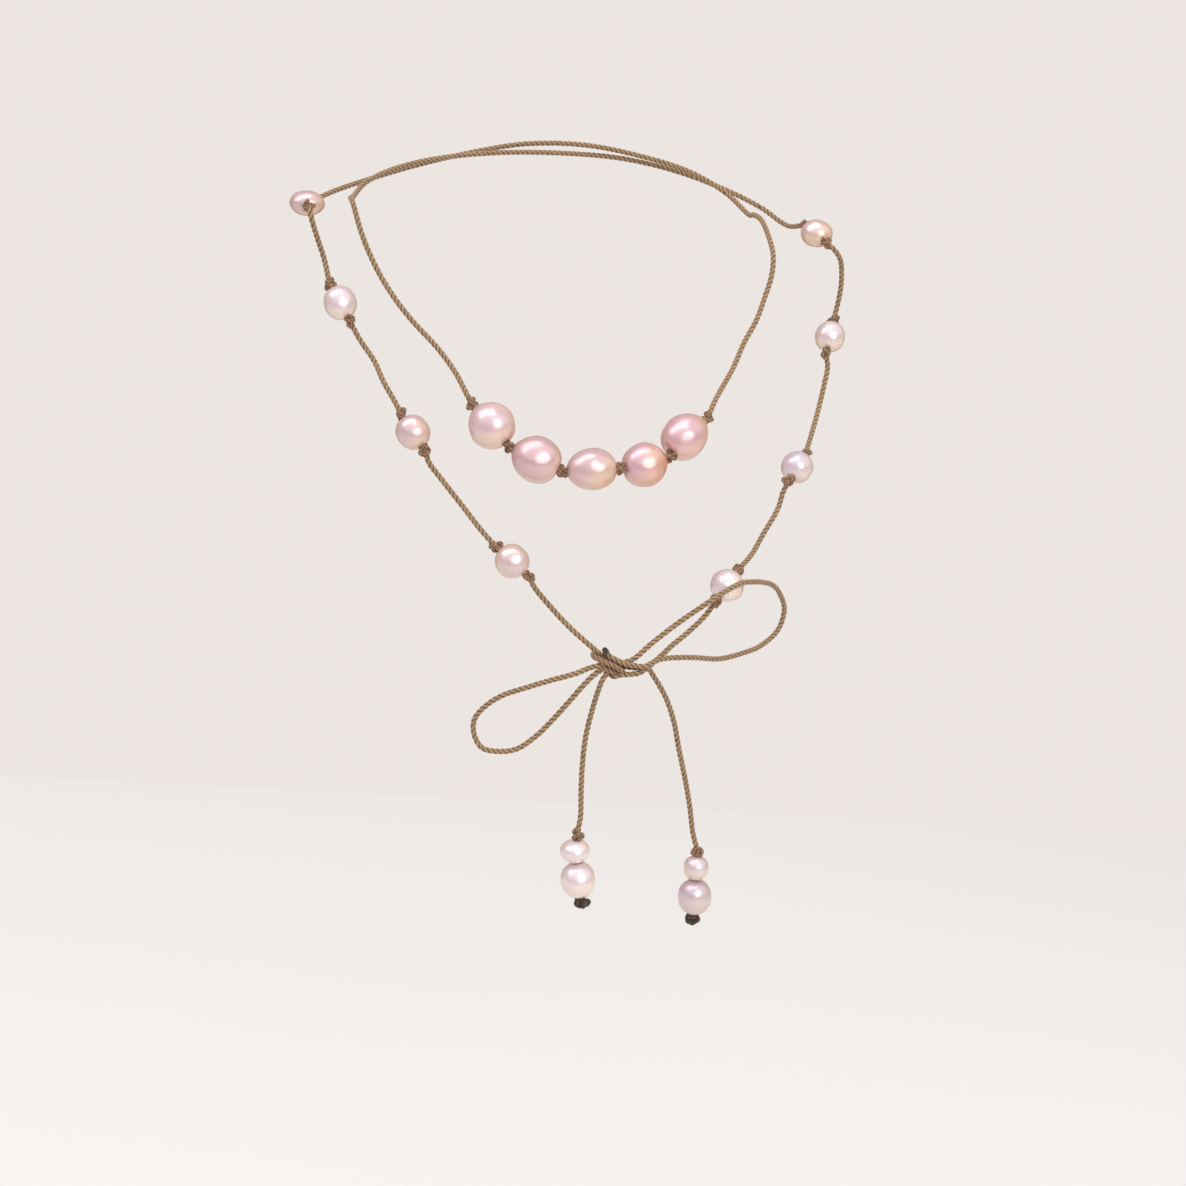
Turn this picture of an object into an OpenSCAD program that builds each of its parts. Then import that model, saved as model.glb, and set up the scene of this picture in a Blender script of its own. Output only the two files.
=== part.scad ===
// Pearl lariat necklace, in the shape it takes round a neck.
// One long twisted cord goes twice round the neck. The inner round carries five large pearls with
// one knot between neighbours. The outer round carries station pearls, each held between two
// knots, and is tied at the front in a bow, whose tails end in two pearls each.
// Origin: the middle of the neck at shoulder height. +Z up, -Y the wearer's front,
// and left and right as seen from the front, so left is -X. Millimetres.

/* [Cord] */
// Diameter of the twisted cord
cord_d = 1.1; // [1:0.05:1.15]
// Running clearance between the cord and a pearl's drilled hole, on the radius
bore_clear = 0.06; // [0.03:0.01:0.1]

/* [Pearls] */
// Width of the large pearls on the short strand
front_pearl_w = 9.5; // [8.5:0.1:9.8]
// Width of the station pearls on the long strand
station_pearl_w = 6.9; // [6:0.1:7.4]
// Width of the small upper pearl on a tail
tail_small_w = 5.7; // [4.8:0.1:6]
// Width of the larger lower pearl on a tail
tail_large_w = 7.1; // [6.4:0.1:7.6]
// Share of a tail's pearl length that the small pearl takes
tail_small_share = 0.4; // [0.35:0.01:0.45]
// Gap at each end of a pearl, which lets it turn on the cord
pearl_gap = 0.05; // [0.04:0.01:0.1]

/* [Knots] */
// Width of a knot, across the cord
knot_w = 2.9; // [2.6:0.1:3]
// Length of a knot, along the cord
knot_l = 1.7; // [1.6:0.05:1.8]
// Width of the tied knot of the bow
bow_knot_w = 3.8; // [3.4:0.1:4]

/* [Hidden] */
FRONT_PEARLS = 5;
STATIONS = 4;
SIDES = ["left", "right"];

cord_r = cord_d / 2;
knot_half = knot_l / 2;
// A knot keeps this much cord, from its middle, on a side where cord follows and not a pearl.
lead = 1.3;
// A moving stretch of cord starts this far from the point it turns about.
turn_gap = cord_r + 0.05;
// The bow knot ends in a ball where each loop turns.
loop_ball_r = 1.8;
loop_gap = loop_ball_r + 0.05;
// Cord left past the last knot of a tail, melted to a tip
melt_l = 1.2;
TUBE_SIDES = 8;
ROUND = 48;

cord_colour = "#94784f";
knot_colour = "#7d6240";
melt_colour = "#3b2c20";
front_colours = ["#e3b3a8", "#c9a3b8", "#e6b4a0", "#eab79f", "#d996a2"];
station_colours = [
    ["#dba9ab", "#d9bcc6", "#d8bbc4", "#e0b7bd"],
    ["#ecd0c4", "#e9cdc6", "#dfc2cd", "#ecd6da"]
];
tail_colours = [["#efdde0", "#e8c0b8"], ["#efd9d0", "#d6b9cf"]];
// Widths of the pearls against the nominal width: no two pearls are alike.
front_shares = [0.99, 1.01, 0.945, 0.955, 0.965];
station_shares = [[1.02, 0.99, 1, 1], [0.98, 0.97, 1, 1.01]];
tail_shares = [[1.08, 1.01], [0.92, 0.99]];

// ---- Routes: where the cord goes. Each point is a place on the cord's centreline. ----
// Where the two rounds pass over the shoulders, and where they turn when they are lifted
front_turns = [[-48.5, 10, 1], [37, 10, 1]];
long_turns = [[-57.5, 14, -1.5], [47.5, 14, -1.5]];
// Behind the neck: from the left end of the short strand to the right end of the long one
nape_under_route = [
    front_turns[0], [-44.5, 17.5, 3.5], [-37, 24, 6], [-27, 28.5, 8], [-14, 30.5, 9.5], [0, 31, 10],
    [14, 30.5, 9.5], [26, 28, 7.5], [36, 24, 4.5], [43, 19.5, 1.5], long_turns[1]
];
// and from the right end of the short strand to the left end of the long one, humping over it
nape_over_route = [
    front_turns[1], [34, 17.5, 4.5], [27.5, 24, 8], [17, 28.5, 10.5], [5, 31, 12], [-8, 32, 11.5],
    [-20, 32.5, 9], [-32, 30.5, 6], [-43, 26, 3], [-52, 20, 0.5], long_turns[0]
];
// Short strand: down from the left shoulder, six knots, up to the right shoulder
front_knots = [
    [-29, -26, -33.5], [-22.5, -31.5, -40.5], [-12.5, -35.5, -44.5], [-1, -36.5, -43.5],
    [9.5, -35, -41.5], [18, -30.5, -34.5]
];
front_left_route = [
    front_turns[0], [-49.5, 5, 1.5], [-49.5, 1, 0.5], [-48.5, -1.5, -3.5], [-47, -3, -7.5],
    [-44.5, -5.5, -12.5], [-41.5, -9, -17], [-38.5, -12, -20.5], [-34.5, -16, -24.5],
    [-31.5, -20.5, -28.5], front_knots[0]
];
front_right_route = [
    front_knots[5], [20, -28, -32], [22, -25.5, -30], [25.5, -21.5, -26.5], [29, -17.5, -21.5],
    [32, -15, -17.5], [34.5, -12, -13], [36, -10.5, -9], [36.5, -9, -5], [36.5, -5, -1.5],
    [36.5, 0, 1], [36.5, 5, 1.5], front_turns[1]
];
// Long strand, left and right: two knots for each station pearl, from the shoulder down
station_knots = [
    [[-58, 9.5, -0.5], [-58.5, 1, 0], [-54, -1.5, -15], [-50.5, -6, -21.5],
     [-41.5, -18.5, -37.5], [-37.5, -23.5, -43.5], [-24.5, -34.5, -60], [-18.5, -38, -65]],
    [[49, 6.5, -0.5], [51, -1.5, -3], [54.5, -1.5, -19.5], [51.5, -6.5, -25.5],
     [44, -19.5, -44.5], [39, -24.5, -49], [26, -35, -65], [20.5, -38.5, -70.5]]
];
// where the long strand goes into the bow knot
bow_ends = [[-4.5, -43, -79], [2.5, -43.5, -81]];
// and the cord between: shoulder to first station, three stretches between stations, last to bow
station_routes = [
    [
        [],
        [[-58.3, -0.3, -1], [-57.8, -0.7, -3], [-56.7, 0.2, -6], [-55, 1, -10.5]],
        [[-48.5, -7.5, -25], [-46, -10, -28.5], [-44.5, -13.5, -32], [-42.5, -16.5, -35.5]],
        [[-36.5, -24, -46], [-34.5, -24.5, -48.5], [-32, -26.5, -51.5], [-29.5, -28.5, -54.5],
         [-27, -32, -57.5]],
        [[-17, -37.5, -67.5], [-13.5, -38.5, -71.5], [-10, -40, -75], [-7, -41.5, -77.5]]
    ],
    [
        [],
        [[52.4, -2.8, -4.2], [54.2, -2.2, -6.3], [55.1, -1.5, -9], [55.5, -1, -13]],
        [[52, -7, -28.5], [51, -8.5, -32.5], [49, -11.5, -37.5], [46.5, -15.5, -41.5]],
        [[38, -24.5, -51.5], [37, -25, -55], [33.5, -27.5, -59.5], [30, -31, -63]],
        [[18.5, -38, -74], [14, -39.5, -77.5], [11.5, -40.5, -79], [9, -42, -80.5], [5.5, -43, -81]]
    ]
];
// Bow: the middle of the knot, the points the loops and tails turn about, and their routes
bow_middle = [-2.2, -43.5, -81.3];
loop_turns = [[-4.5, -43.5, -82.5], [0, -45.5, -81]];
loop_routes = [
    [[-9, -43.5, -83.5], [-14, -42, -85.5], [-18.5, -40.5, -87.5], [-22.5, -39, -89.5],
     [-25.5, -38, -92], [-27.5, -37.5, -95], [-27.5, -38, -98], [-26, -39, -100.5],
     [-23, -40, -101], [-19.5, -41.5, -100], [-16, -42.5, -97], [-13, -43, -93.5],
     [-10, -43.5, -89.5], [-7.5, -44, -86]],
    [[2, -45.5, -78.5], [6, -44.5, -77], [10, -44, -74], [14, -44, -71], [16.5, -44.5, -69],
     [19.5, -43.5, -67.5], [24.5, -41, -66], [28, -38.5, -66.5], [31, -35.5, -67.5],
     [34.5, -33, -69], [37, -31, -71.5], [39, -29.5, -75.5], [38, -30, -79.5],
     [33.5, -33, -82], [28, -36.5, -82.5], [22, -39.5, -82.5], [15, -42.5, -81],
     [8, -44.5, -80.5], [5, -45.5, -81.5], [2.5, -45.5, -82]]
];
tail_turns = [[-2.5, -43, -83.5], [1, -42, -82]];
tail_routes = [
    [[-4, -42.5, -87.5], [-5, -43, -92], [-6, -43.5, -97.5], [-6.5, -44.5, -103],
     [-6.5, -45, -108], [-6.5, -46, -113]],
    [[3, -41.5, -82.5], [5, -41.5, -82.5], [6.5, -41.5, -83.5], [8, -41.5, -85.5],
     [10.5, -42, -89.5], [12.5, -42.5, -94.5], [14, -43, -100.5], [16, -43, -107.5],
     [17.5, -43, -113.5], [18.5, -43.5, -119]]
];
// A tail's knots: the one above its pearls, and the one at its end
tail_knots = [
    [[-7, -46.5, -117], [-5.5, -48, -131]],
    [[19.5, -44.5, -123], [19.5, -45.5, -137.5]]
];

// ---- Geometry along a route ----
function unit(v) = v / norm(v);
function last(list) = list[len(list) - 1];
function toward(a, b, d) = a + d * unit(b - a);
// A route cut short by a at its start and by b at its end
function trimmed(route, a, b) = let (n = len(route)) concat(
    [toward(route[0], route[1], a)],
    [for (i = [1:1:n - 2]) route[i]],
    [toward(route[n - 1], route[n - 2], b)]
);
function way_in(route, i) = i == 0 ? unit(route[1] - route[0]) : unit(route[i] - route[i - 1]);
function way_out(route, i) = i == len(route) - 1 ? way_in(route, i) : unit(route[i + 1] - route[i]);
function tangent(route, i) = unit(way_in(route, i) + way_out(route, i));
// One side direction for each point, carried along the route so that the tube doesn't twist
function sideways(route, i = 0, before = undef) =
    i == len(route) ? [] :
    let (
        t = tangent(route, i),
        first = abs(t.z) > 0.8 ? [1, 0, 0] : [0, 0, 1],
        guide = is_undef(before) ? first : before,
        s = unit(guide - (guide * t) * t)
    )
    concat([s], sideways(route, i + 1, s));

// A stretch of cord along a route, with flat ends
module cord_tube(route) {
    rings = len(route);
    sides = sideways(route);
    points = [
        for (i = [0:rings - 1], k = [0:TUBE_SIDES - 1])
            let (a = 360 * k / TUBE_SIDES, other = cross(tangent(route, i), sides[i]))
            route[i] + cord_r * (cos(a) * sides[i] + sin(a) * other)
    ];
    walls = [
        for (i = [0:rings - 2], k = [0:TUBE_SIDES - 1])
            let (
                next = (k + 1) % TUBE_SIDES,
                a = i * TUBE_SIDES + k,
                b = i * TUBE_SIDES + next,
                c = b + TUBE_SIDES,
                d = a + TUBE_SIDES
            )
            each [[a, d, c], [a, c, b]]
    ];
    start_cap = [for (k = [0:TUBE_SIDES - 1]) k];
    end_cap = [for (k = [TUBE_SIDES - 1:-1:0]) (rings - 1) * TUBE_SIDES + k];
    polyhedron(points, concat([start_cap], walls, [end_cap]), convexity = 10);
}

// Stands its children at a point, with their +Z along a direction
module aimed(at, way) {
    translate(at)
        rotate([0, acos(unit(way).z), atan2(way.y, way.x)])
            children();
}

// A round straight stretch of cord
module straight(from, to) {
    aimed(from, to - from)
        cylinder(h = norm(to - from), r = cord_r, $fn = ROUND);
}

// The cord inside a pearl, from one knot's face to the next knot's face
module core(a, b) {
    straight(toward(a, b, knot_half), toward(b, a, knot_half));
}

module ring(ring_r, wire_r) {
    rotate_extrude($fn = ROUND)
        translate([ring_r, 0])
            circle(r = wire_r, $fn = 24);
}

// A knot pulled tight: the cord runs in and out, and its turns lie round it as two leaning rings
module knot(at, before, after, lead_in = knot_half, lead_out = knot_half) {
    outer_wire_r = knot_w / 6;
    inner_wire_r = outer_wire_r * 0.85;
    straight(toward(at, before, lead_in), at);
    straight(at, toward(at, after, lead_out));
    aimed(at, unit(at - before) + unit(after - at)) {
        rotate([10, 0, 0])
            ring(knot_w / 2 - outer_wire_r, outer_wire_r);
        rotate([-14, 8, 0])
            ring(knot_w / 2.4 - inner_wire_r, inner_wire_r);
        sphere(r = 0.98 * knot_half, $fn = ROUND);
    }
}

// A drilled pearl of one length and width. The outline of a button pearl, wider than long, is an
// arc through both ends and the widest point. A long one has two half-round ends and a straight
// stretch between them, and is round when the two are equal.
module pearl(at, way, length, width) {
    half = length / 2;
    reach = width / 2;
    stretch = max(0, half - reach);
    arc_r = stretch > 0 ? reach : (half * half + reach * reach) / (2 * reach);
    bore_r = cord_r + bore_clear;
    aimed(at, way)
        rotate_extrude($fn = 96)
            intersection() {
                union() {
                    for (z = [-stretch, stretch])
                        translate([reach - arc_r, z])
                            circle(r = arc_r, $fn = 96);
                    if (stretch > 0)
                        translate([0, -stretch])
                            square([reach, 2 * stretch]);
                }
                translate([bore_r, -half])
                    square([reach, length]);
            }
}

// A pearl that fills the space between two knots
module pearl_between(a, b, width) {
    pearl((a + b) / 2, b - a, norm(b - a) - knot_l - 2 * pearl_gap, width);
}

// ---- Nape ----
module nape_cord_under() {
    color(cord_colour) cord_tube(nape_under_route);
}

module nape_cord_over() {
    color(cord_colour) cord_tube(nape_over_route);
}

// ---- Short strand ----
module front_cord() {
    color(cord_colour) {
        cord_tube(trimmed(front_left_route, turn_gap, lead));
        cord_tube(trimmed(front_right_route, lead, turn_gap));
        for (i = [0:FRONT_PEARLS - 1])
            core(front_knots[i], front_knots[i + 1]);
    }
}

module knot_front(i) {
    first = i == 0;
    end = i == FRONT_PEARLS;
    before = first ? front_left_route[len(front_left_route) - 2] : front_knots[i - 1];
    after = end ? front_right_route[1] : front_knots[i + 1];
    color(knot_colour)
        knot(front_knots[i], before, after, first ? lead : knot_half, end ? lead : knot_half);
}

module pearl_front(i) {
    color(front_colours[i])
        pearl_between(front_knots[i], front_knots[i + 1], front_shares[i] * front_pearl_w);
}

// ---- Long strand ----
// Stretch number i of one side of the long strand, ends included
function station_route(side, i) = concat(
    [i == 0 ? long_turns[side] : station_knots[side][2 * i - 1]],
    station_routes[side][i],
    [i == STATIONS ? bow_ends[side] : station_knots[side][2 * i]]
);

module long_cord(side) {
    color(cord_colour) {
        for (i = [0:STATIONS])
            cord_tube(trimmed(
                station_route(side, i),
                i == 0 ? turn_gap : lead,
                i == STATIONS ? 0 : lead
            ));
        for (i = [0:STATIONS - 1])
            core(station_knots[side][2 * i], station_knots[side][2 * i + 1]);
    }
}

module knot_station(side, k) {
    i = floor(k / 2);
    upper = k % 2 == 0;
    above = station_route(side, i);
    below = station_route(side, i + 1);
    before = upper ? above[len(above) - 2] : station_knots[side][k - 1];
    after = upper ? station_knots[side][k + 1] : below[1];
    color(knot_colour)
        knot(
            station_knots[side][k], before, after,
            upper ? lead : knot_half, upper ? knot_half : lead
        );
}

module pearl_station(side, i) {
    color(station_colours[side][i])
        pearl_between(
            station_knots[side][2 * i],
            station_knots[side][2 * i + 1],
            station_shares[side][i] * station_pearl_w
        );
}

// ---- Bow ----
module bow_knot() {
    wire_r = bow_knot_w / 7;
    core_l = 5;
    wraps = 3;
    color(knot_colour) {
        // the bundle of cords through the knot, with the cord's turns round it
        translate(bow_middle)
            rotate([0, 90, 0]) {
                translate([0, 0, -core_l / 2])
                    cylinder(h = core_l, r = bow_knot_w / 3, $fn = ROUND);
                for (i = [0:wraps - 1])
                    translate([0, 0, (i - (wraps - 1) / 2) * 2.1 * wire_r])
                        ring(bow_knot_w / 2 - wire_r, wire_r);
            }
        // where the long strand comes in
        for (side = [0, 1]) {
            route = station_route(side, STATIONS);
            straight(bow_ends[side], bow_ends[side] + 3 * way_in(route, len(route) - 1));
        }
        // where the loops and the tails go out
        for (at = loop_turns)
            translate(at) sphere(r = loop_ball_r, $fn = ROUND);
        for (at = tail_turns) {
            translate(at) sphere(r = cord_r, $fn = ROUND);
            straight(at, bow_middle);
        }
    }
}

module bow_loop(side) {
    route = concat([loop_turns[side]], loop_routes[side], [loop_turns[side]]);
    color(cord_colour) cord_tube(trimmed(route, loop_gap, loop_gap));
}

module bow_tail(side) {
    route = concat([tail_turns[side]], tail_routes[side], [tail_knots[side][0]]);
    color(cord_colour) {
        cord_tube(trimmed(route, turn_gap, lead));
        core(tail_knots[side][0], tail_knots[side][1]);
    }
}

module knot_tail_top(side) {
    color(knot_colour)
        knot(tail_knots[side][0], last(tail_routes[side]), tail_knots[side][1], lead_in = lead);
}

// The last knot, with the short melted tip that stops the cord fraying
module knot_tail_end(side) {
    top = tail_knots[side][0];
    end = tail_knots[side][1];
    color(melt_colour) {
        knot(end, top, 2 * end - top);
        aimed(toward(end, top, -knot_half), end - top) {
            cylinder(h = melt_l - cord_r, r = cord_r, $fn = ROUND);
            translate([0, 0, melt_l - cord_r]) sphere(r = cord_r, $fn = ROUND);
        }
    }
}

// The two pearls of a tail touch each other between its two knots.
module pearl_tail(side, i) {
    top = tail_knots[side][0];
    end = tail_knots[side][1];
    room = norm(end - top) - knot_l - 3 * pearl_gap;
    small_l = tail_small_share * room;
    large_l = room - small_l;
    from_top = i == 0
        ? knot_half + pearl_gap + small_l / 2
        : knot_half + 2 * pearl_gap + small_l + large_l / 2;
    color(tail_colours[side][i])
        pearl(
            toward(top, end, from_top),
            end - top,
            i == 0 ? small_l : large_l,
            tail_shares[side][i] * (i == 0 ? tail_small_w : tail_large_w)
        );
}

nape_cord_under();
nape_cord_over();
front_cord();
bow_knot();
for (side = [0, 1]) {
    long_cord(side);
    bow_loop(side);
    bow_tail(side);
    knot_tail_top(side);
    knot_tail_end(side);
    pearl_tail(side, 0);
    pearl_tail(side, 1);
    for (k = [0:2 * STATIONS - 1])
        knot_station(side, k);
    for (i = [0:STATIONS - 1])
        pearl_station(side, i);
}
for (i = [0:FRONT_PEARLS])
    knot_front(i);
for (i = [0:FRONT_PEARLS - 1])
    pearl_front(i);
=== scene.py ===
"""Pearl lariat necklace: one long twisted cord that goes twice round the neck, carries freshwater
pearls between knots, and is tied in a bow.

Frame: metres, origin at the middle of the neck at shoulder height, +Z up, -Y the wearer's front.
Routes are written in millimetres, as in the part's source, and turned into metres by MM."""

import math

import bpy
import numpy as np
from mathutils import Euler, Matrix, Vector


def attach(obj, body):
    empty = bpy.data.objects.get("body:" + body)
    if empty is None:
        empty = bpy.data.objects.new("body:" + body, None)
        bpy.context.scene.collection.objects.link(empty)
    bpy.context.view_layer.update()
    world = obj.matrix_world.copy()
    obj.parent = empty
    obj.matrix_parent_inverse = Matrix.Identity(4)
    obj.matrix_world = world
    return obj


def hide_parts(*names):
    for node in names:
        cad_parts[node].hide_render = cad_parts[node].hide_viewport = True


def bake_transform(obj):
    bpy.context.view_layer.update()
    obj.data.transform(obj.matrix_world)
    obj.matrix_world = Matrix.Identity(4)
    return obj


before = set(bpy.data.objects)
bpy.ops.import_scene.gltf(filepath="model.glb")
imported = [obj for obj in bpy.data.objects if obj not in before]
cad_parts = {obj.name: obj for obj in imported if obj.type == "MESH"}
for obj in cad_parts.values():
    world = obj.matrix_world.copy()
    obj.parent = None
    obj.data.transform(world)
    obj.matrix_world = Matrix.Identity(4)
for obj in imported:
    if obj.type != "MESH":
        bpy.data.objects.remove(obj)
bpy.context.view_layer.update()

MM = 0.001

# ---- Driving sizes, in millimetres ----
CORD_D = 1.1
CROWNS_D = 1.17  # across the crowns of the plies, which stand a little proud of it
LAY = 3.3  # length of one full turn of the cord's three plies
KNOT_W, KNOT_L = 2.9, 1.7
PEARL_GAP = 0.05
BORE_R = CORD_D / 2 + 0.06
STEP = 0.28  # spacing of the rings along a ply
PLY_SIDES = 9
PLY_SHARE = 0.262  # a ply's radius, as a share of the width across the crowns

# ---- Camera: the viewer stands to the wearer's right, a little above the pearls ----
CAMERA_AT = (-0.1092, -0.4010, 0.0497)
CAMERA_DOWN, CAMERA_YAW, CAMERA_ROLL = 17.4, -16.0, 4.3
CAMERA_LENS, CAMERA_SENSOR = 60.7, 36.0

# ---- Routes of the cord, as in the part's source ----
FRONT_TURNS = [(-48.5, 10, 1), (37, 10, 1)]
LONG_TURNS = [(-57.5, 14, -1.5), (47.5, 14, -1.5)]
NAPE_UNDER = [
    (-44.5, 17.5, 3.5), (-37, 24, 6), (-27, 28.5, 8), (-14, 30.5, 9.5), (0, 31, 10), (14, 30.5, 9.5),
    (26, 28, 7.5), (36, 24, 4.5), (43, 19.5, 1.5),
]
NAPE_OVER = [
    (34, 17.5, 4.5), (27.5, 24, 8), (17, 28.5, 10.5), (5, 31, 12), (-8, 32, 11.5), (-20, 32.5, 9),
    (-32, 30.5, 6), (-43, 26, 3), (-52, 20, 0.5),
]
FRONT_KNOTS = [
    (-29, -26, -33.5), (-22.5, -31.5, -40.5), (-12.5, -35.5, -44.5), (-1, -36.5, -43.5),
    (9.5, -35, -41.5), (18, -30.5, -34.5),
]
FRONT_LEFT = [
    (-49.5, 5, 1.5), (-49.5, 1, 0.5), (-48.5, -1.5, -3.5), (-47, -3, -7.5), (-44.5, -5.5, -12.5),
    (-41.5, -9, -17), (-38.5, -12, -20.5), (-34.5, -16, -24.5), (-31.5, -20.5, -28.5),
]
FRONT_RIGHT = [
    (20, -28, -32), (22, -25.5, -30), (25.5, -21.5, -26.5), (29, -17.5, -21.5), (32, -15, -17.5),
    (34.5, -12, -13), (36, -10.5, -9), (36.5, -9, -5), (36.5, -5, -1.5), (36.5, 0, 1), (36.5, 5, 1.5),
]
STATION_KNOTS = [
    [(-58, 9.5, -0.5), (-58.5, 1, 0), (-54, -1.5, -15), (-50.5, -6, -21.5),
     (-41.5, -18.5, -37.5), (-37.5, -23.5, -43.5), (-24.5, -34.5, -60), (-18.5, -38, -65)],
    [(49, 6.5, -0.5), (51, -1.5, -3), (54.5, -1.5, -19.5), (51.5, -6.5, -25.5),
     (44, -19.5, -44.5), (39, -24.5, -49), (26, -35, -65), (20.5, -38.5, -70.5)],
]
STATION_ROUTES = [
    [
        [],
        [(-58.3, -0.3, -1), (-57.8, -0.7, -3), (-56.7, 0.2, -6), (-55, 1, -10.5)],
        [(-48.5, -7.5, -25), (-46, -10, -28.5), (-44.5, -13.5, -32), (-42.5, -16.5, -35.5)],
        [(-36.5, -24, -46), (-34.5, -24.5, -48.5), (-32, -26.5, -51.5), (-29.5, -28.5, -54.5),
         (-27, -32, -57.5)],
        [(-17, -37.5, -67.5), (-13.5, -38.5, -71.5), (-10, -40, -75), (-7, -41.5, -77.5)],
    ],
    [
        [],
        [(52.4, -2.8, -4.2), (54.2, -2.2, -6.3), (55.1, -1.5, -9), (55.5, -1, -13)],
        [(52, -7, -28.5), (51, -8.5, -32.5), (49, -11.5, -37.5), (46.5, -15.5, -41.5)],
        [(38, -24.5, -51.5), (37, -25, -55), (33.5, -27.5, -59.5), (30, -31, -63)],
        [(18.5, -38, -74), (14, -39.5, -77.5), (11.5, -40.5, -79), (9, -42, -80.5)],
    ],
]
BOW_MIDDLE = (-2.2, -43.5, -81.3)
LOOP_ROUTES = [
    [(-9, -43.5, -83.5), (-14, -42, -85.5), (-18.5, -40.5, -87.5), (-22.5, -39, -89.5),
     (-25.5, -38, -92), (-27.5, -37.5, -95), (-27.5, -38, -98), (-26, -39, -100.5),
     (-23, -40, -101), (-19.5, -41.5, -100), (-16, -42.5, -97), (-13, -43, -93.5),
     (-10, -43.5, -89.5), (-7.5, -44, -86)],
    [(6, -44.5, -77), (10, -44, -74), (14, -44, -71), (16.5, -44.5, -69),
     (19.5, -43.5, -67.5), (24.5, -41, -66), (28, -38.5, -66.5), (31, -35.5, -67.5),
     (34.5, -33, -69), (37, -31, -71.5), (39, -29.5, -75.5), (38, -30, -79.5),
     (33.5, -33, -82), (28, -36.5, -82.5), (22, -39.5, -82.5), (15, -42.5, -81), (8, -44.5, -80.5)],
]
TAIL_ROUTES = [
    [(-5, -43, -92), (-6, -43.5, -97.5), (-6.5, -44.5, -103), (-6.5, -45, -108), (-6.5, -46, -113)],
    [(5, -41.5, -82.5), (6.5, -41.5, -83.5), (8, -41.5, -85.5), (10.5, -42, -89.5),
     (12.5, -42.5, -94.5), (14, -43, -100.5), (16, -43, -107.5), (17.5, -43, -113.5),
     (18.5, -43.5, -119)],
]
TAIL_KNOTS = [
    [(-7, -46.5, -117), (-5.5, -48, -131)],
    [(19.5, -44.5, -123), (19.5, -45.5, -137.5)],
]
SIDES = ["left", "right"]


def bow(right, up, out):
    """A point of the bow knot. It faces the viewer, so its own directions are turned with the chest."""
    turn = Euler((-math.radians(CAMERA_DOWN), 0, math.radians(CAMERA_YAW)), "XYZ")
    return tuple(Vector(BOW_MIDDLE) + turn.to_matrix() @ Vector((right, -out, up)))


# ---- Lines ----
def unit(v):
    return v / np.maximum(np.linalg.norm(v, axis=-1, keepdims=True), 1e-12)


def evenly(line, step):
    """The line again, with its points step apart."""
    gaps = np.linalg.norm(np.diff(line, axis=0), axis=1)
    along = np.concatenate([[0], np.cumsum(gaps)])
    at = np.linspace(0, along[-1], max(3, math.ceil(along[-1] / step) + 1))
    return np.stack([np.interp(at, along, line[:, k]) for k in range(3)], axis=1)


def smooth(points, step=STEP):
    """A smooth line through the points (a centripetal Catmull-Rom curve)."""
    p = np.array(points, float)
    p = np.vstack([2 * p[0] - p[1], p, 2 * p[-1] - p[-2]])
    pieces = []
    for i in range(1, len(p) - 2):
        q = p[i - 1 : i + 3]
        t = np.concatenate([[0], np.cumsum(np.sqrt(np.linalg.norm(np.diff(q, axis=0), axis=1)))])
        s = np.linspace(t[1], t[2], 24, endpoint=False)[:, None]

        def mix(a, b, ta, tb):
            return (tb - s) / (tb - ta) * a + (s - ta) / (tb - ta) * b

        a1, a2, a3 = (mix(q[k], q[k + 1], t[k], t[k + 1]) for k in range(3))
        b1, b2 = mix(a1, a2, t[0], t[2]), mix(a2, a3, t[1], t[3])
        pieces.append(mix(b1, b2, t[1], t[2]))
    pieces.append(p[-2:-1])
    return evenly(np.vstack(pieces), step)


def between(line, start, end):
    """The part of a line from its point nearest to start to its point nearest to end."""
    i, j = (int(np.linalg.norm(line - np.array(p, float), axis=1).argmin()) for p in (start, end))
    return line[i : j + 1]


def through(a, b):
    """Points that keep the cord straight inside a pearl between two knots."""
    a, b = np.array(a, float), np.array(b, float)
    way = unit(b - a)
    return [tuple(a), tuple(a + KNOT_L * way), tuple((a + b) / 2), tuple(b - KNOT_L * way), tuple(b)]


def side_directions(line):
    """For each point of a line, its direction and two side directions that don't twist."""
    way = unit(np.gradient(line, axis=0))
    first = np.array([0.0, 0.0, 1.0]) if abs(way[0][2]) < 0.8 else np.array([1.0, 0.0, 0.0])
    side = np.zeros_like(way)
    side[0] = unit(first - way[0] * (first @ way[0]))
    for i in range(1, len(way)):
        s = side[i - 1] - way[i] * (side[i - 1] @ way[i])
        side[i] = s / max(np.linalg.norm(s), 1e-12)
    return way, side, np.cross(way, side)


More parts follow.
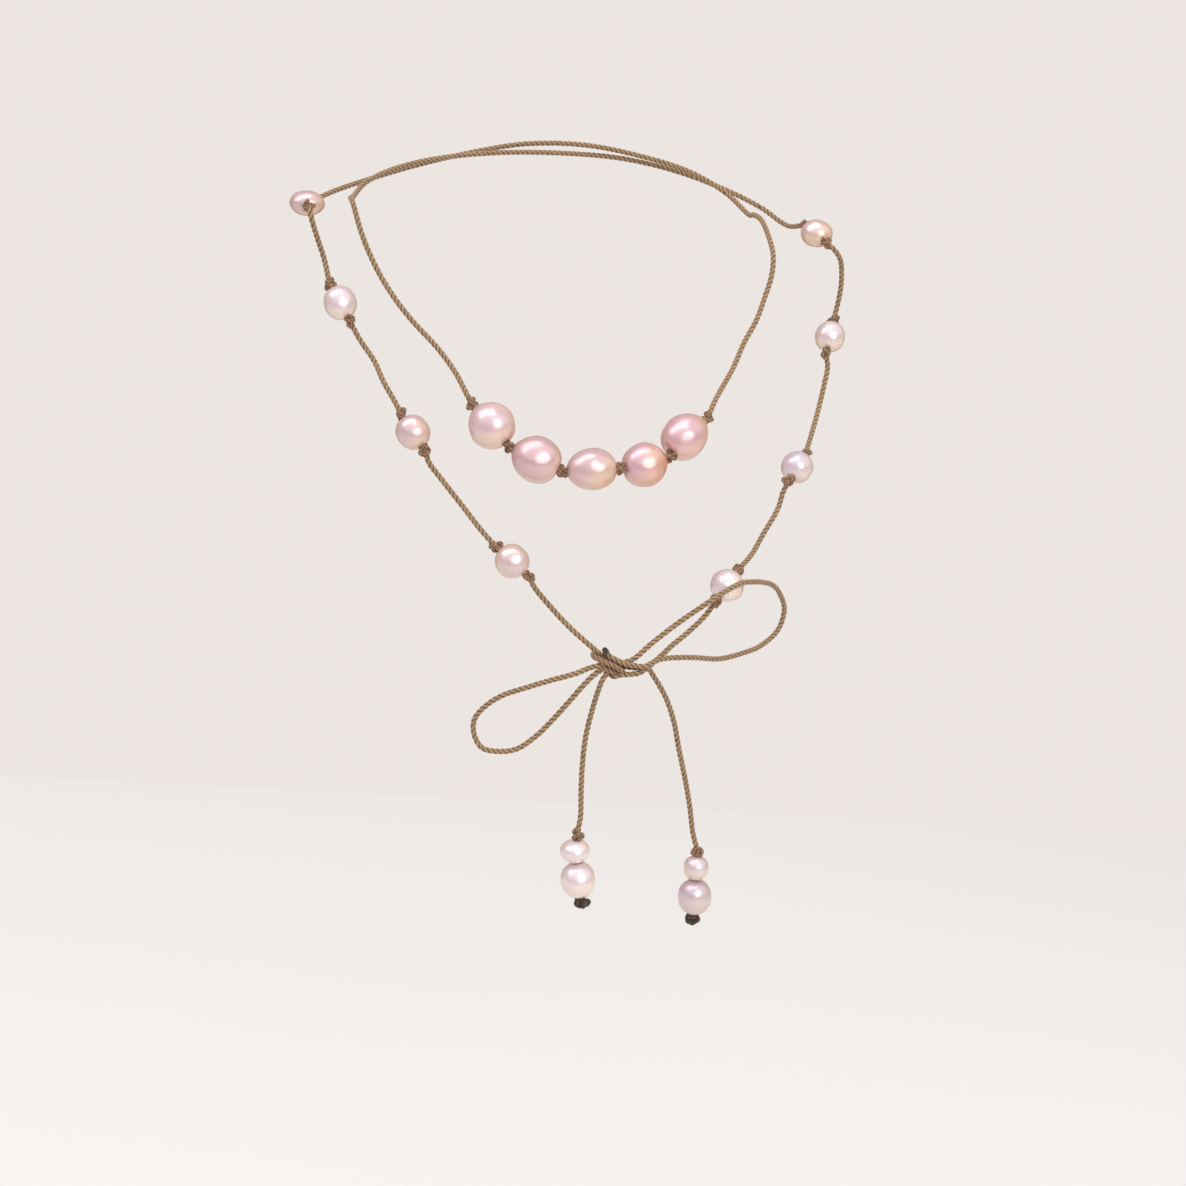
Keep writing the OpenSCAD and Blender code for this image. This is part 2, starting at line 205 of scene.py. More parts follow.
# ---- Twisted cord ----
class Tubes:
    """Collects the plies of twisted cord into one mesh."""

    def __init__(self):
        self.points, self.faces, self.uv, self.crown, self.count = [], [], [], [], 0

    def tube(self, line, radius, crown, around):
        """A closed tube. radius and crown, how far out of the cord's grooves a point is, may vary."""
        n, sides = len(line), PLY_SIDES
        _, a, b = side_directions(line)
        angle = 2 * math.pi * np.arange(sides) / sides
        radius = np.broadcast_to(radius, n)[:, None, None]
        ring = np.cos(angle)[None, :, None] * a[:, None] + np.sin(angle)[None, :, None] * b[:, None]
        points = line[:, None] + radius * ring
        along = np.concatenate([[0], np.cumsum(np.linalg.norm(np.diff(line, axis=0), axis=1))])
        i, k = np.meshgrid(np.arange(n - 1), np.arange(sides), indexing="ij")
        i, k = i.ravel(), k.ravel()
        after = (k + 1) % sides
        quads = np.stack([i * sides + k, i * sides + after, (i + 1) * sides + after, (i + 1) * sides + k], 1)
        u, v = k / sides + around, along
        corner_u = np.stack([u, u + 1 / sides, u + 1 / sides, u], 1)
        corner_v = np.stack([v[i], v[i], v[i + 1], v[i + 1]], 1)
        self.points.append(points.reshape(-1, 3))
        self.faces += (quads + self.count).tolist()
        self.uv.append(np.stack([corner_u, corner_v], 2).reshape(-1, 2))
        for cap in (list(range(sides))[::-1], [(n - 1) * sides + j for j in range(sides)]):
            self.faces.append([self.count + j for j in cap])
            self.uv.append(np.zeros((sides, 2)))
        self.crown.append(crown(points).reshape(-1))
        self.count += n * sides

    def cord(self, line, diameter=CROWNS_D, lay=LAY, hand=1):
        """Three plies laid round a line."""
        _, a, b = side_directions(line)
        ply_r = PLY_SHARE * diameter
        out_r = diameter / 2 - ply_r
        along = np.concatenate([[0], np.cumsum(np.linalg.norm(np.diff(line, axis=0), axis=1))])
        for ply in range(3):
            turn = (hand * 2 * math.pi * along / lay + 2 * math.pi * ply / 3)[:, None]
            centre = line + out_r * (np.cos(turn) * a + np.sin(turn) * b)

            def crown(points):
                far = np.linalg.norm(points - line[:, None], axis=2)
                return np.clip((far / (diameter / 2) - 0.45) / 0.55, 0, 1)

            self.tube(centre, ply_r, crown, around=ply * 0.37)

    def finished(self, name, material):
        mesh = bpy.data.meshes.new(name)
        mesh.from_pydata((np.vstack(self.points) * MM).tolist(), [], self.faces)
        mesh.uv_layers.new(name="UVMap").data.foreach_set(
            "uv", np.vstack(self.uv).astype(np.float32).ravel()
        )
        crown = mesh.attributes.new("crown", "FLOAT", "POINT")
        crown.data.foreach_set("value", np.concatenate(self.crown).astype(np.float32))
        mesh.shade_smooth()
        mesh.materials.append(material)
        obj = bpy.data.objects.new(name, mesh)
        bpy.context.scene.collection.objects.link(obj)
        return obj


# ---- An overhand knot pulled tight ----
def overhand(diameter, points=90, rounds=900):
    """The line of a tight overhand knot along Z: a loose one whose ends are pulled until it locks."""
    t = np.linspace(-2.05, 2.05, points)
    line = np.stack([t**3 - 3 * t, t**4 - 4 * t**2, t**5 / 5 - 2 * t], axis=1)
    line = line[:, [1, 2, 0]] * 0.75 * diameter
    line = evenly(line, 1e-9 + np.linalg.norm(np.diff(line, axis=0), axis=1).sum() / (points - 1))[:points]
    gap = np.abs(np.subtract.outer(np.arange(len(line)), np.arange(len(line))))
    rest = 0.21 * diameter
    apart = gap > round(1.6 * diameter / rest)
    for _ in range(rounds):
        line[0] += (0, 0, -0.02 * diameter)
        line[-1] += (0, 0, 0.02 * diameter)
        line[[0, -1], :2] *= 0.9
        for _ in range(4):  # pull the points back to their spacing
            step = np.diff(line, axis=0)
            far = np.linalg.norm(step, axis=1, keepdims=True)
            push = 0.5 * (far - rest) / np.maximum(far, 1e-9) * step
            line[:-1] += push
            line[1:] -= push
        line[1:-1] += 0.12 * ((line[:-2] + line[2:]) / 2 - line[1:-1])
        away = line[:, None] - line[None]
        far = np.linalg.norm(away, axis=2)
        push = np.where(apart & (far < diameter), (diameter - far) / np.maximum(far, 1e-9), 0)
        line += np.clip(0.28 * (push[:, :, None] * away).sum(axis=1), -0.12 * diameter, 0.12 * diameter)
    return line


# ---- Materials ----
def material(name, rough, **sockets):
    """A new Principled material, with its nodes, links and shader."""
    m = bpy.data.materials.new(name)
    m.use_nodes = True
    shader = m.node_tree.nodes["Principled BSDF"]
    shader.inputs["Roughness"].default_value = rough
    for socket, value in sockets.items():
        shader.inputs[socket.replace("_", " ")].default_value = value
    return m, m.node_tree.nodes, m.node_tree.links, shader


def rgb(code):
    """A colour from its web code, in the linear values that shaders use."""
    values = [int(code[i : i + 2], 16) / 255 for i in (1, 3, 5)]
    return tuple((v / 12.92 if v < 0.04 else ((v + 0.055) / 1.055) ** 2.4) for v in values) + (1.0,)


def ramp(nodes, stops, interpolation="LINEAR"):
    """A colour ramp with the given places and colours."""
    node = nodes.new("ShaderNodeValToRGB")
    node.color_ramp.interpolation = interpolation
    for i, (place, colour) in enumerate(stops):
        stop = node.color_ramp.elements[i] if i < 2 else node.color_ramp.elements.new(place)
        stop.position, stop.color = place, colour
    return node


def maths(nodes, links, operation, a, b=None):
    """The output of a math node, whose inputs are numbers or other outputs."""
    node = nodes.new("ShaderNodeMath")
    node.operation = operation
    for socket, value in zip(node.inputs, (a, b)):
        if value is None:
            continue
        if isinstance(value, (int, float)):
            socket.default_value = value
        else:
            links.new(value, socket)
    return node.outputs[0]


def cord_material(name, groove_shade, body, crown, rough=0.62):
    """Waxed twisted cord: each ply shows its own yarns, with painted shade dark in the grooves and a painted
    highlight pale on the crowns.
    """
    m, nodes, links, shader = material(name, rough, Specular_IOR_Level=0.35, Sheen_Weight=0.25)
    uv = nodes.new("ShaderNodeUVMap")
    uv.uv_map = "UVMap"
    parts = nodes.new("ShaderNodeSeparateXYZ")
    links.new(uv.outputs[0], parts.inputs[0])
    high = nodes.new("ShaderNodeAttribute")
    high.attribute_name = "crown"
    yarns = maths(nodes, links, "ADD", maths(nodes, links, "MULTIPLY", parts.outputs[0], 7.0),
                  maths(nodes, links, "MULTIPLY", parts.outputs[1], -0.9))
    stripe = maths(nodes, links, "SINE", maths(nodes, links, "MULTIPLY", yarns, 2 * math.pi))
    noise = nodes.new("ShaderNodeTexNoise")
    noise.inputs["Scale"].default_value = 1500
    noise.inputs["Detail"].default_value = 4
    place = nodes.new("ShaderNodeTexCoord")
    links.new(place.outputs["Object"], noise.inputs["Vector"])
    broad = nodes.new("ShaderNodeTexNoise")
    broad.inputs["Scale"].default_value = 260
    links.new(place.outputs["Object"], broad.inputs["Vector"])
    # How far out of the grooves a point is sets its tone: painted shade in the grooves, painted highlight on
    # the crowns.
    tone = maths(nodes, links, "ADD", maths(nodes, links, "MULTIPLY", high.outputs["Fac"], 0.84),
                 maths(nodes, links, "MULTIPLY", stripe, 0.09))
    tone = maths(nodes, links, "ADD", tone, maths(nodes, links, "MULTIPLY", noise.outputs["Fac"], 0.2))
    tone = maths(nodes, links, "ADD", tone, maths(nodes, links, "MULTIPLY", broad.outputs["Fac"], 0.12))
    colours = ramp(nodes, [(0.22, rgb(groove_shade)), (0.62, rgb(body)), (0.95, rgb(crown))])
    links.new(tone, colours.inputs[0])
    links.new(colours.outputs[0], shader.inputs["Base Color"])
    bump = nodes.new("ShaderNodeBump")
    bump.inputs["Strength"].default_value = 0.6
    bump.inputs["Distance"].default_value = 0.00006
    height = maths(nodes, links, "ADD", stripe, maths(nodes, links, "MULTIPLY", noise.outputs["Fac"], 0.8))
    links.new(height, bump.inputs["Height"])
    links.new(bump.outputs[0], shader.inputs["Normal"])
    return m


def nacre(name, main, overtone_and_reflection, warm_and_shade, seed):
    """Nacre: a body colour that goes to a lilac overtone on the side towards the lights and to a darker warm
    tone on the other, both partly the nacre's own colour and partly painted reflection and painted shade,
    and drifts a little in between, under a soft lustre."""
    m, nodes, links, shader = material(
        name, 0.3, Metallic=0.34, IOR=1.6, Coat_Weight=0.65, Coat_Roughness=0.13, Coat_IOR=1.6
    )
    place = nodes.new("ShaderNodeTexCoord")
    shift = nodes.new("ShaderNodeMapping")
    shift.inputs["Location"].default_value = (0.013 * seed, 0.027 * seed, 0.019 * seed)
    links.new(place.outputs["Object"], shift.inputs["Vector"])

    def noise(scale, detail, rough=0.5):
        node = nodes.new("ShaderNodeTexNoise")
        for socket, value in (("Scale", scale), ("Detail", detail), ("Roughness", rough)):
            node.inputs[socket].default_value = value
        links.new(shift.outputs[0], node.inputs["Vector"])
        return node.outputs["Fac"]

    side = nodes.new("ShaderNodeAttribute")
    side.attribute_name = "side"
    tone = maths(nodes, links, "ADD", maths(nodes, links, "MULTIPLY", side.outputs["Fac"], 0.7),
                 maths(nodes, links, "MULTIPLY", noise(170, 2), 0.6))
    tone = maths(nodes, links, "SUBTRACT", tone, 0.15)
    # Painted reflection on the side towards the lights and painted shade on the far side, mixed with the
    # nacre's own tones.
    colours = ramp(nodes, [(0.22, rgb(warm_and_shade)), (0.5, rgb(main)), (0.8, rgb(overtone_and_reflection))], "EASE")
    links.new(tone, colours.inputs[0])
    links.new(colours.outputs[0], shader.inputs["Base Color"])
    rough = nodes.new("ShaderNodeMapRange")
    rough.inputs["To Min"].default_value, rough.inputs["To Max"].default_value = 0.25, 0.36
    links.new(noise(420, 3), rough.inputs["Value"])
    links.new(rough.outputs[0], shader.inputs["Roughness"])
    bump = nodes.new("ShaderNodeBump")
    bump.inputs["Strength"].default_value = 0.16
    bump.inputs["Distance"].default_value = 0.00012
    links.new(noise(760, 3), bump.inputs["Height"])
    links.new(bump.outputs[0], shader.inputs["Normal"])
    return m


# In each look the first colour is the painted shade of the grooves and the last is the painted highlight of
# the crowns.
cord_look = cord_material("cord", "#1c130b", "#563e28", "#a78864")
knot_look = cord_material("knot", "#311f15", "#6b4a33", "#9c7859")
tip_look = cord_material("melted_end", "#120b07", "#2b1c12", "#4a3524", rough=0.38)

# ---- The cord ----
def station_line(side):
    """From the bow up one side of the long strand to the shoulder."""
    knots, routes = STATION_KNOTS[side], STATION_ROUTES[side]
    points = [*INTO_BOW[side]]
    for i in range(3, -1, -1):
        points += routes[i + 1][::-1] + through(knots[2 * i + 1], knots[2 * i])
    return points + [LONG_TURNS[side]]


# where the long strand goes into the bow knot, from inside it
INTO_BOW = [
    [bow(0.6, 0.1, -1.0), bow(-1.2, 0.9, -0.7), bow(-2.6, 1.9, -0.3)],
    [bow(0.2, -1.4, -1.3), bow(0.5, -2.5, -0.5), bow(1.1, -2.7, 0.4), bow(2.3, -2.3, 0.7),
     bow(3.9, -2.1, 0.3), bow(6.1, -1.6, 0)],
]
front_points = [FRONT_TURNS[1], *FRONT_RIGHT[::-1]]
for i in range(4, -1, -1):
    front_points += through(FRONT_KNOTS[i + 1], FRONT_KNOTS[i])[(0 if i == 4 else 1):]
front_points += [*FRONT_LEFT[::-1], FRONT_TURNS[0]]

# The strands run on past the shoulders to the first point of each nape route, where its piece takes over.
left_long = between(smooth([*station_line(0), *NAPE_OVER[:-3:-1]]), INTO_BOW[0][0], NAPE_OVER[-1])
right_long = between(smooth([*station_line(1), *NAPE_UNDER[:-3:-1]]), INTO_BOW[1][0], NAPE_UNDER[-1])
front = between(
    smooth([NAPE_OVER[1], NAPE_OVER[0], *front_points, NAPE_UNDER[0], NAPE_UNDER[1]]),
    NAPE_OVER[0], NAPE_UNDER[0],
)
over = between(
    smooth([LONG_TURNS[0], *NAPE_OVER[::-1], FRONT_TURNS[1]]), NAPE_OVER[-1], NAPE_OVER[0]
)
under = between(
    smooth([FRONT_TURNS[0], *NAPE_UNDER, LONG_TURNS[1]]), NAPE_UNDER[0], NAPE_UNDER[-1]
)


def joined(name, line, look):
    tubes = Tubes()
    tubes.cord(line)
    return tubes.finished(name, look)


pieces = {}
pieces["cord_long_left"] = joined("cord_long_left", left_long, cord_look)
pieces["cord_long_right"] = joined("cord_long_right", right_long, cord_look)
pieces["cord_front"] = joined("cord_front", front, cord_look)
pieces["cord_nape_over"] = joined("cord_nape_over", over, cord_look)
pieces["cord_nape_under"] = joined("cord_nape_under", under, cord_look)

loop_lines = [
    smooth([bow(1.2, 0.2, 0.2), bow(-0.6, -0.3, 0.7), bow(-2.2, -0.8, 0.8), bow(-3.9, -1.4, 0.4),
            *LOOP_ROUTES[0], bow(-3.0, -2.8, 0.3), bow(-1.7, -1.7, 0.3), bow(-0.4, -0.8, 0.1),
            bow(1.0, -0.2, -0.4)]),
    smooth([bow(-1.6, -0.4, -0.8), bow(0.4, -0.3, -0.1), bow(2.4, 0.1, 0.3), bow(4.4, 0.85, 0.5),
            *LOOP_ROUTES[1], bow(6.7, -0.3, 0.9), bow(4.7, -0.2, 1.0), bow(2.6, 0.1, 1.3),
            bow(1.1, 0.7, 1.5), bow(-0.3, 1.3, 1.2), bow(-1.0, 2.1, 0.5), bow(-1.1, 2.4, -0.4),
            bow(-0.5, 1.5, -1.3), bow(0.2, 0.5, -1.5)]),
]
tail_lines = [
    smooth([bow(0.6, 0.2, -0.3), bow(0.0, -1.0, 0.2), bow(-0.55, -2.4, 0.3), bow(-1.25, -3.75, 0.3),
            *TAIL_ROUTES[0], *through(*TAIL_KNOTS[0])]),
    smooth([bow(0.4, 0.1, -0.8), bow(2.5, -0.6, -0.7), bow(4.5, -0.7, -0.7), bow(6.3, -0.7, -0.8),
            *TAIL_ROUTES[1][1:], *through(*TAIL_KNOTS[1])]),
]
wrap_line = smooth([
    bow(-1.5, 0.0, -1.6), bow(-2.3, 1.2, -1.3), bow(-3.2, 1.5, -0.5), bow(-3.3, 1.0, 0.6),
    bow(-2.2, 0.5, 1.4), bow(-0.9, 0.0, 1.8), bow(0.6, -0.5, 1.8), bow(1.9, -1.15, 1.5),
    bow(2.9, -1.8, 0.7), bow(2.9, -2.1, -0.4), bow(1.6, -1.7, -1.4), bow(0.0, -1.0, -1.7),
    bow(-1.5, -0.9, -1.4), bow(-2.2, -0.9, -0.3), bow(-1.4, -1.1, 0.8), bow(0.0, -1.6, 1.1),
    bow(1.2, -2.1, 0.6), bow(1.2, -1.9, -0.6),
])
for side, line in zip(SIDES, loop_lines):
    pieces[f"cord_loop_{side}"] = joined(f"cord_loop_{side}", line, cord_look)
for side, line in zip(SIDES, tail_lines):
    pieces[f"cord_tail_{side}"] = joined(f"cord_tail_{side}", line, cord_look)
pieces["bow_wrap"] = joined("bow_wrap", wrap_line, knot_look)

# Painted shade: the cord is painted darker where the right loop turns over the top of the bow.
TURN_SHADE_DARK, TURN_SHADE_REACH = 1.3, 0.0014
turn_over = Vector(bow(-1.05, 2.25, 0.1)) * MM
loop_mesh = pieces["cord_loop_right"].data
for vertex, height in zip(loop_mesh.vertices, loop_mesh.attributes["crown"].data):
    height.value -= TURN_SHADE_DARK * math.exp(-((vertex.co - turn_over).length / TURN_SHADE_REACH) ** 2)

# ---- Knots ----
KNOT_CORD = 0.84  # the cord is squeezed where it's knotted
KNOT_FLAT = 0.62  # and the pearls press the knot shorter than it would be
tight = overhand(KNOT_CORD)
lobes = np.abs(tight[:, 2]) < 1.7 * KNOT_CORD
off_axis = (tight[lobes, :2].max(axis=0) + tight[lobes, :2].min(axis=0)) / 2
nearness = np.clip((2.6 * KNOT_CORD - np.abs(tight[:, 2:])) / (1.2 * KNOT_CORD), 0, 1)
tight[:, :2] -= off_axis * nearness * nearness * (3 - 2 * nearness)
tight[:, :2] *= (KNOT_W - KNOT_CORD) / 2 / np.linalg.norm(tight[lobes, :2], axis=1).max()
tight[:, :2] *= 1.1
tight[:, 2] *= KNOT_FLAT
tight = evenly(tight[np.abs(tight[:, 2]) < KNOT_L / 2 + 0.35], 0.14)


# How much wider and longer than the others a tail's knots are, and how far they are moved down it
END_KNOT = (1.4, 1.2, 0.15)
TAIL_KNOT = (1.1, 1, 0)


def knot(name, at, way, turn, hand, look, wide, tall, shift):
    """The tight knot with its length along way, turned about it and moved along it."""
    line = tight * (wide, hand * wide, tall) + (0, 0, shift)
    axis = Vector(way).normalized()
    place = axis.to_track_quat("Z", "Y").to_matrix() @ Matrix.Rotation(turn, 3, "Z")
    tubes = Tubes()
    tubes.cord(line @ np.array(place).T + np.array(at, float), diameter=KNOT_CORD, lay=2.6, hand=hand)
    return tubes.finished(name, look)


def mean_way(before, at, after):
    before, at, after = (np.array(p, float) for p in (before, at, after))
    return unit(at - before) + unit(after - at)


knots = []  # name, place, direction, body
for i, at in enumerate(FRONT_KNOTS):
    before = FRONT_LEFT[-1] if i == 0 else FRONT_KNOTS[i - 1]
    after = FRONT_RIGHT[0] if i == 5 else FRONT_KNOTS[i + 1]
    knots.append((f"knot_front_{i + 1}", at, mean_way(before, at, after), "front_strand"))
for s, side in enumerate(SIDES):
    for k, at in enumerate(STATION_KNOTS[s]):
        i = k // 2
        above = ([LONG_TURNS[s]] if i == 0 else [STATION_KNOTS[s][2 * i - 1]]) + STATION_ROUTES[s][i]
        below = STATION_ROUTES[s][i + 1]
        before = above[-1] if k % 2 == 0 else STATION_KNOTS[s][k - 1]
        after = STATION_KNOTS[s][k + 1] if k % 2 == 0 else below[0]
        knots.append((f"knot_{side}_{k + 1}", at, mean_way(before, at, after), "long_strand"))
    top, end = TAIL_KNOTS[s]
    way = mean_way(TAIL_ROUTES[s][-1], top, end)
    knots.append((f"knot_tail_{side}_top", top, way, f"bow_tail_{side}"))
    knots.append((f"knot_tail_{side}_end", end, np.array(end) - np.array(top), f"bow_tail_{side}"))
for i, (name, at, way, body) in enumerate(knots):
    last = name.endswith("end")  # these are melted, and squashed against their pearls
    size = END_KNOT if last else TAIL_KNOT if "tail" in name else (1, 1, 0)
    look = tip_look if last else knot_look
    piece = knot(f"tied_{name}", at, way, 2.4 * i, 1 if i % 2 else -1, look, *size)
    pieces[name] = piece
    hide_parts(name)
    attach(piece, body)

# ---- Pearls ----
PEARL_GRID = (56, 72)
OVERTONE_AND_LIT_SIDE = (-0.5, -0.42, 0.76)  # the side of the pearls towards the lights, with most of the overtone and its painted reflection; the far side gets painted shade


def pearl(name, a, b, shape, seed, look, start=None, length=None):
    """A drilled pearl between two knots, on the line that joins them. Its shape is its width, how
    far it leans out from that line if it isn't drilled through its middle, and how tall it is."""
    width, lean, tall = shape
    a, b = np.array(a, float), np.array(b, float)
    way = unit(b - a)
    length = length or np.linalg.norm(b - a) - KNOT_L - 2 * PEARL_GAP
    middle = (a + b) / 2 if start is None else a + (start + length / 2) * way
    half, reach = length / 2, width / 2
    rows, cols = PEARL_GRID
    low = math.acos(min(0.98, BORE_R / reach))  # where the outside meets the drilled hole
    rise = np.linspace(-low, low, rows)
    outside = np.stack([np.cos(rise) * reach, np.sin(rise) * half / math.sin(low)], 1)
    inside = np.array([[BORE_R, z] for z in np.linspace(half - 0.1, -half + 0.1, 8)])
    profile = np.vstack([outside, inside])
    turn = 2 * math.pi * np.arange(cols) / cols
    points = np.stack([
        profile[:, :1] * np.cos(turn), profile[:, :1] * np.sin(turn),
        np.repeat(profile[:, 1:], cols, axis=1),
    ], 2)
    # It swells a little here and there, but not near its holes.
    r = np.random.default_rng(seed)
    direction = unit(points)
    swell = np.zeros(points.shape[:2])
    for _ in range(6):
        v = unit(r.normal(size=3))
        swell += r.uniform(0.004, 0.011) * np.cos(r.uniform(1.5, 4) * (direction @ v) * 2 + r.uniform(0, 6))
    edge = np.zeros(len(profile))
    edge[:rows] = np.maximum(np.cos(rise * math.pi / 2 / low), 0) ** 0.6
    points[:, :, :2] *= (1 + (swell - swell[:rows].max()) * edge[:, None])[:, :, None]
    turned = np.array(Vector(way).to_track_quat("Z", "Y").to_matrix())
    flat = points.reshape(-1, 3) @ turned.T
    belly = np.zeros(len(profile))
    belly[:rows] = 1 - (np.abs(rise) / low) ** 5
    # side: how far a point faces the lights, which sets the painted reflection and painted shade in its
    # colour.
    glow = unit(np.array(OVERTONE_AND_LIT_SIDE) + r.normal(size=3) * 0.22)
    side = 0.5 + 0.5 * unit(flat) @ glow
    flat[:, 2] *= tall
    flat = flat + middle + np.repeat(belly, cols)[:, None] * np.array(lean, float)
    n = len(profile)
    i, k = (g.ravel() for g in np.meshgrid(np.arange(n), np.arange(cols), indexing="ij"))
    after, up = (k + 1) % cols, (i + 1) % n
    faces = np.stack([i * cols + k, i * cols + after, up * cols + after, up * cols + k], 1)
    mesh = bpy.data.meshes.new(name)
    mesh.from_pydata((flat * MM).tolist(), [], faces.tolist())
    mesh.attributes.new("side", "FLOAT", "POINT").data.foreach_set("value", side.astype(np.float32))
    mesh.shade_smooth()
    mesh.materials.append(look)
    obj = bpy.data.objects.new(name, mesh)
    bpy.context.scene.collection.objects.link(obj)
    return obj


# Colours of a pearl's main tone, of its overtone on the side towards the lights, partly painted reflection,
# and of its darker warm side, partly painted shade
FRONT_TONES = [
    ("#e0c3b3", "#d6bbc3", "#daaa8d"), ("#d7b4a5", "#cdabb1", "#d19c82"),
    ("#d9b9a6", "#cfb1b6", "#d3a080"), ("#d9b0a2", "#cfa8b2", "#d3977c"),
    ("#dbb4a5", "#d1abb2", "#d59c83"),
]
STATION_TONES = [
    [
        ("#d4b7a5", "#cbb0b3", "#cfa184"), ("#e3d1c3", "#dac9cd", "#debaa1"),
        ("#d8bdaf", "#cfb5b9", "#d3a78d"), ("#dcc5b2", "#d3bdbd", "#d7af91"),
    ],
    [
        ("#dcc0ab", "#d3b9b9", "#d7aa8a"), ("#e2cfbf", "#d9c8cd", "#ddb99e"),
        ("#d9cac6", "#d0c3d4", "#d4b4a5"), ("#e8dacd", "#dfd3db", "#e3c4ac"),
    ],
]
TAIL_TONES = [
    [("#e8d8cc", "#e1d2d8", "#e4c5b1"), ("#e5d5c9", "#decfd5", "#e1c2ae")],
    [("#dacabe", "#d3c4ca", "#d6b7a3"), ("#d0beb8", "#c9b8c4", "#ccab9d")],
]
# Width, lean and height, as pearl() takes them
STRAIGHT = (0, 0, 0)
FRONT_SHAPES = [
    (9.4, (0.35, 0, -0.2), 1), (9.5, (0.4, 0, -0.2), 1), (8.7, (0.2, 0, 0.1), 0.98),
    (9.0, (-0.3, 0, -0.55), 1), (9.0, (-1.05, 0, -0.1), 1),
]
STATION_SHAPES = [
    [(7.3, (0, 0, 0.35), 0.72), (6.8, STRAIGHT, 1), (6.9, STRAIGHT, 1), (6.9, STRAIGHT, 1)],
    [(6.9, (0.1, 0, 0.2), 0.87), (6.7, STRAIGHT, 1.02), (6.9, STRAIGHT, 1), (7.0, STRAIGHT, 0.98)],
]
TAIL_SHAPES = [
    [(6.2, (-0.75, 0, 0), 0.97), (7.3, (-0.5, 0, 0), 1.02)],
    [(5.5, (0, 0, 0), 1.02), (7.3, (0.1, 0, 0), 1)],
]
SMALL_SHARE = 0.4  # how much of a tail's length of pearls its small pearl takes
pearls = []  # node, two ends, shape and tones, then the start and length where two pearls share a gap
for i in range(5):
    ends = FRONT_KNOTS[i : i + 2]
    pearls.append((f"pearl_front_{i + 1}", ends, FRONT_SHAPES[i], FRONT_TONES[i]))
for s, side in enumerate(SIDES):
    for i in range(4):
        ends = STATION_KNOTS[s][2 * i : 2 * i + 2]
        pearls.append((f"pearl_{side}_{i + 1}", ends, STATION_SHAPES[s][i], STATION_TONES[s][i]))
    room = math.dist(*TAIL_KNOTS[s]) - KNOT_L - 3 * PEARL_GAP
    start = KNOT_L / 2 + PEARL_GAP
    for i, (kind, share) in enumerate([("small", SMALL_SHARE), ("large", 1 - SMALL_SHARE)]):
        looks = TAIL_SHAPES[s][i], TAIL_TONES[s][i]
        pearls.append((f"pearl_tail_{side}_{kind}", TAIL_KNOTS[s], *looks, start, share * room))
        start += share * room + PEARL_GAP
for seed, (node, ends, shape, tones, *place) in enumerate(pearls):
    look = nacre(f"nacre_{node}", *tones, seed)
    piece = pearl(f"nacre_{node}", *ends, shape, seed, look, *place)
    pieces[node] = piece
    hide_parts(node)
    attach(piece, node)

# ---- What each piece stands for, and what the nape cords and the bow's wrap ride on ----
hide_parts("long_cord_left")
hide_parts("long_cord_right")
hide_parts("front_cord")
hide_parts("nape_cord_over")
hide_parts("nape_cord_under")
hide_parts("bow_knot")
for side in SIDES:
    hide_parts(f"bow_loop_{side}")
    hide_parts(f"bow_tail_{side}")


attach(pieces["cord_nape_over"], "nape")
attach(pieces["cord_nape_under"], "nape")
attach(pieces["bow_wrap"], "long_strand")
for name in ("cord_long_left", "cord_long_right"):
    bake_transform(pieces[name])
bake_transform(pieces["cord_front"])
for side, way in zip(SIDES, (-1, 1)):
    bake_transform(pieces[f"cord_loop_{side}"])
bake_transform(pieces["cord_tail_left"])
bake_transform(pieces["cord_tail_right"])


# ---- Stage, light and camera ----
camera_data = bpy.data.cameras.new("camera")
camera_data.lens, camera_data.sensor_width = CAMERA_LENS, CAMERA_SENSOR
camera_data.clip_start = 0.01
camera = bpy.data.objects.new("camera", camera_data)
turn = Euler((math.radians(90 - CAMERA_DOWN), 0, math.radians(CAMERA_YAW)), "XYZ").to_matrix()
turn = turn @ Matrix.Rotation(math.radians(CAMERA_ROLL), 3, "Z")
camera.matrix_world = Matrix.Translation(CAMERA_AT) @ turn.to_4x4()
bpy.context.scene.collection.objects.link(camera)
bpy.context.scene.camera = camera

FLOOR_Z = -0.215
# The floor ends behind the necklace along this line, where the studio's pale wall begins.
FLOOR_EDGE = [(-3.0, 0.863), (3.0, -0.466)]
FLOOR_FRONT = -0.75
FLOOR_COLOUR = "#dbdddd"
FADE_START, FADE_END = 0.42, 0.72  # how far from the origin the floor turns into the wall's colour
WALL = (0.84, 0.79, 0.765)
LIGHT_AIM = (0, -0.035, -0.045)


def plain(name, colour, rough=0.9):
    """A matt colour with a faint broad drift."""
    m, nodes, links, shader = material(name, rough)
    noise = nodes.new("ShaderNodeTexNoise")
    noise.inputs["Scale"].default_value = 3
    shade = ramp(nodes, [(0.3, rgb(colour)), (0.7, tuple(min(1, c * 1.03) for c in rgb(colour)))])
    links.new(noise.outputs["Fac"], shade.inputs[0])
    links.new(shade.outputs[0], shader.inputs["Base Color"])
    return m


def board(name, corners, look):
    mesh = bpy.data.meshes.new(name)
    mesh.from_pydata(corners, [], [list(range(len(corners)))])
    mesh.materials.append(look)
    obj = bpy.data.objects.new(name, mesh)
    bpy.context.scene.collection.objects.link(obj)


